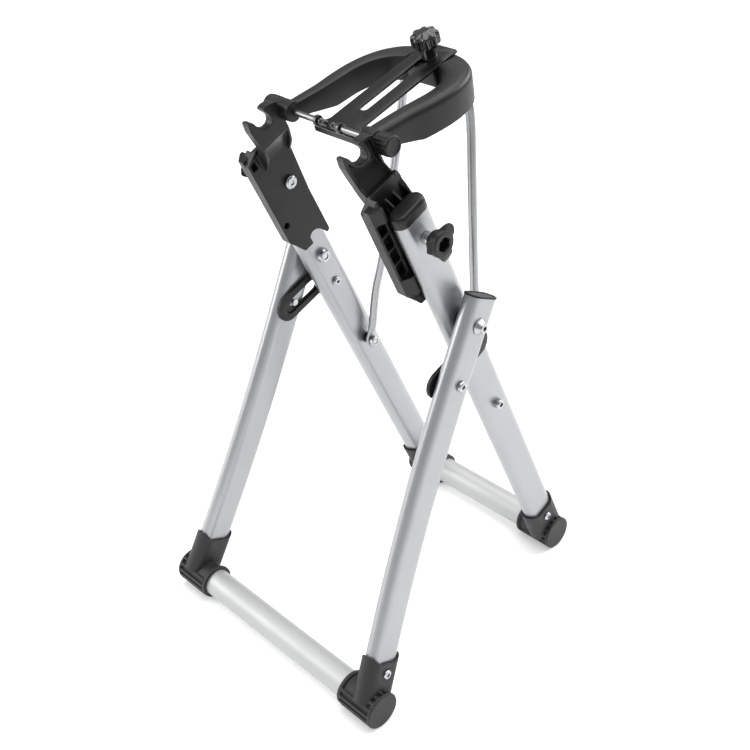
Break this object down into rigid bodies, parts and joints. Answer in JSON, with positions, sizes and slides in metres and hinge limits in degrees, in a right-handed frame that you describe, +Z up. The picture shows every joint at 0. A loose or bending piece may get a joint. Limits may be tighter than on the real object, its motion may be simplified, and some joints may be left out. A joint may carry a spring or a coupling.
{
  "type": "folding bicycle wheel truing stand",
  "caption": "Folding wheel truing stand: silver scissor legs on two cross tubes, reversible dropout plates and a swinging wire-held gauge arm with lateral and radial gauges.",
  "frame": {"origin": "centre of the footprint on the floor, at the bounding box's bottom centre", "axes": "+Z up, +X to the right seen from the user's side (along the wheel axle), -Y towards the front cross tube"},
  "size_m": [0.2768, 0.33, 0.5443],
  "materials": {
    "silver_tube": "satin silver paint on flat-oval and round steel tube",
    "black_plastic": "satin moulded plastic, fine texture",
    "gloss_plastic": "glossy moulded plastic",
    "zinc": "bright zinc plating",
    "bright_wire": "bright plated steel rod",
    "black_paint": "black paint on steel sheet"
  },
  "bodies": {
    "main_frame": {"main_leg_right": "silver_tube", "main_leg_left": "silver_tube", "main_leg_cap_right": "black_plastic", "main_leg_cap_left": "black_plastic", "rear_foot_right": "black_plastic", "rear_foot_left": "black_plastic", "rear_foot_screw_right": "zinc", "rear_foot_screw_left": "zinc", "pivot_bolt_right": "zinc", "pivot_bolt_left": "zinc", "pivot_nut_right": "zinc", "pivot_nut_left": "zinc", "pivot_washer_right": "black_plastic", "pivot_washer_left": "black_plastic", "link_bolt_right": "zinc", "link_bolt_left": "zinc", "wire_bolt_right": "zinc", "wire_bolt_left": "zinc", "wire_spacer_right": "black_paint", "wire_spacer_left": "black_paint", "wire_nut_right": "zinc", "wire_nut_left": "zinc", "dropout_plate_right": "black_plastic", "dropout_plate_left": "black_plastic", "clamp_bolt_right": "zinc", "clamp_bolt_left": "zinc", "clamp_sleeve_right": "zinc", "clamp_sleeve_left": "zinc", "rear_cross_tube": "silver_tube"},
    "front_frame": {"short_leg_right": "silver_tube", "short_leg_left": "silver_tube", "short_leg_plug_right": "black_plastic", "short_leg_plug_left": "black_plastic", "front_foot_right": "black_plastic", "front_foot_left": "black_plastic", "front_foot_screw_right": "zinc", "front_foot_screw_left": "zinc", "brace_screw_right": "zinc", "brace_screw_left": "zinc", "brace_nut_right": "zinc", "brace_nut_left": "zinc", "front_cross_tube": "silver_tube"},
    "brace_link_r": {"brace_link_right": "black_plastic"},
    "brace_link_l": {"brace_link_left": "black_plastic"},
    "gauge_support": {"support_wire": "bright_wire"},
    "gauge_head": {"gauge_arm": "black_plastic", "star_stud": "zinc"},
    "lateral_r": {"lateral_knob_right": "black_plastic", "lateral_rod_right": "zinc", "lateral_tip_right": "gloss_plastic"},
    "lateral_l": {"lateral_knob_left": "black_plastic", "lateral_rod_left": "zinc", "lateral_tip_left": "gloss_plastic"},
    "radial": {"radial_plate": "black_paint"},
    "star": {"star_knob": "gloss_plastic"},
    "clamp_r": {"clamp_knob_right": "black_plastic"},
    "clamp_l": {"clamp_knob_left": "black_plastic"}
  },
  "joints": [
    {"name": "frame_fold", "type": "hinge", "parent": "main_frame", "child": "front_frame", "pos_m": [0, -0.00525, 0.3361], "axis": [1, 0, 0], "range_deg": [0, 38]},
    {"name": "brace_turn_right", "type": "hinge", "parent": "main_frame", "child": "brace_link_r", "pos_m": [0, 0.01027, 0.30373], "axis": [1, 0, 0], "range_deg": [0, 52.5]},
    {"name": "brace_turn_left", "type": "hinge", "parent": "main_frame", "child": "brace_link_l", "pos_m": [0, 0.01027, 0.30373], "axis": [1, 0, 0], "range_deg": [0, 52.5]},
    {"name": "support_swing", "type": "hinge", "parent": "main_frame", "child": "gauge_support", "pos_m": [0, 0.04707, 0.227], "axis": [-1, 0, 0], "range_deg": [0, 60]},
    {"name": "arm_tilt", "type": "hinge", "parent": "gauge_support", "child": "gauge_head", "pos_m": [0, 0.06124, 0.49725], "axis": [1, 0, 0], "range_deg": [0, 42]},
    {"name": "lateral_slide_right", "type": "slide", "parent": "gauge_head", "child": "lateral_r", "axis": [1, 0, 0], "range_m": [0, 0.024]},
    {"name": "lateral_slide_left", "type": "slide", "parent": "gauge_head", "child": "lateral_l", "axis": [-1, 0, 0], "range_m": [0, 0.024]},
    {"name": "radial_slide", "type": "slide", "parent": "gauge_head", "child": "radial", "axis": [0, 0.9502, 0.3115], "range_m": [-0.003, 0.07]},
    {"name": "star_turn", "type": "hinge", "parent": "gauge_head", "child": "star", "pos_m": [0, 0.05428, 0.52046], "axis": [0, -0.3115, 0.9502], "continuous": true},
    {"name": "clamp_turn_right", "type": "hinge", "parent": "main_frame", "child": "clamp_r", "pos_m": [0.106, -0.0472, 0.42356], "axis": [1, 0, 0], "continuous": true},
    {"name": "clamp_turn_left", "type": "hinge", "parent": "main_frame", "child": "clamp_l", "pos_m": [-0.106, -0.0472, 0.42356], "axis": [-1, 0, 0], "continuous": true}
  ],
  "couplings": [
    {"joint": "brace_turn_right", "follows": "frame_fold", "ratio": 1.38},
    {"joint": "brace_turn_left", "follows": "frame_fold", "ratio": 1.38},
    {"joint": "arm_tilt", "follows": "support_swing", "ratio": 0.7}
  ]
}
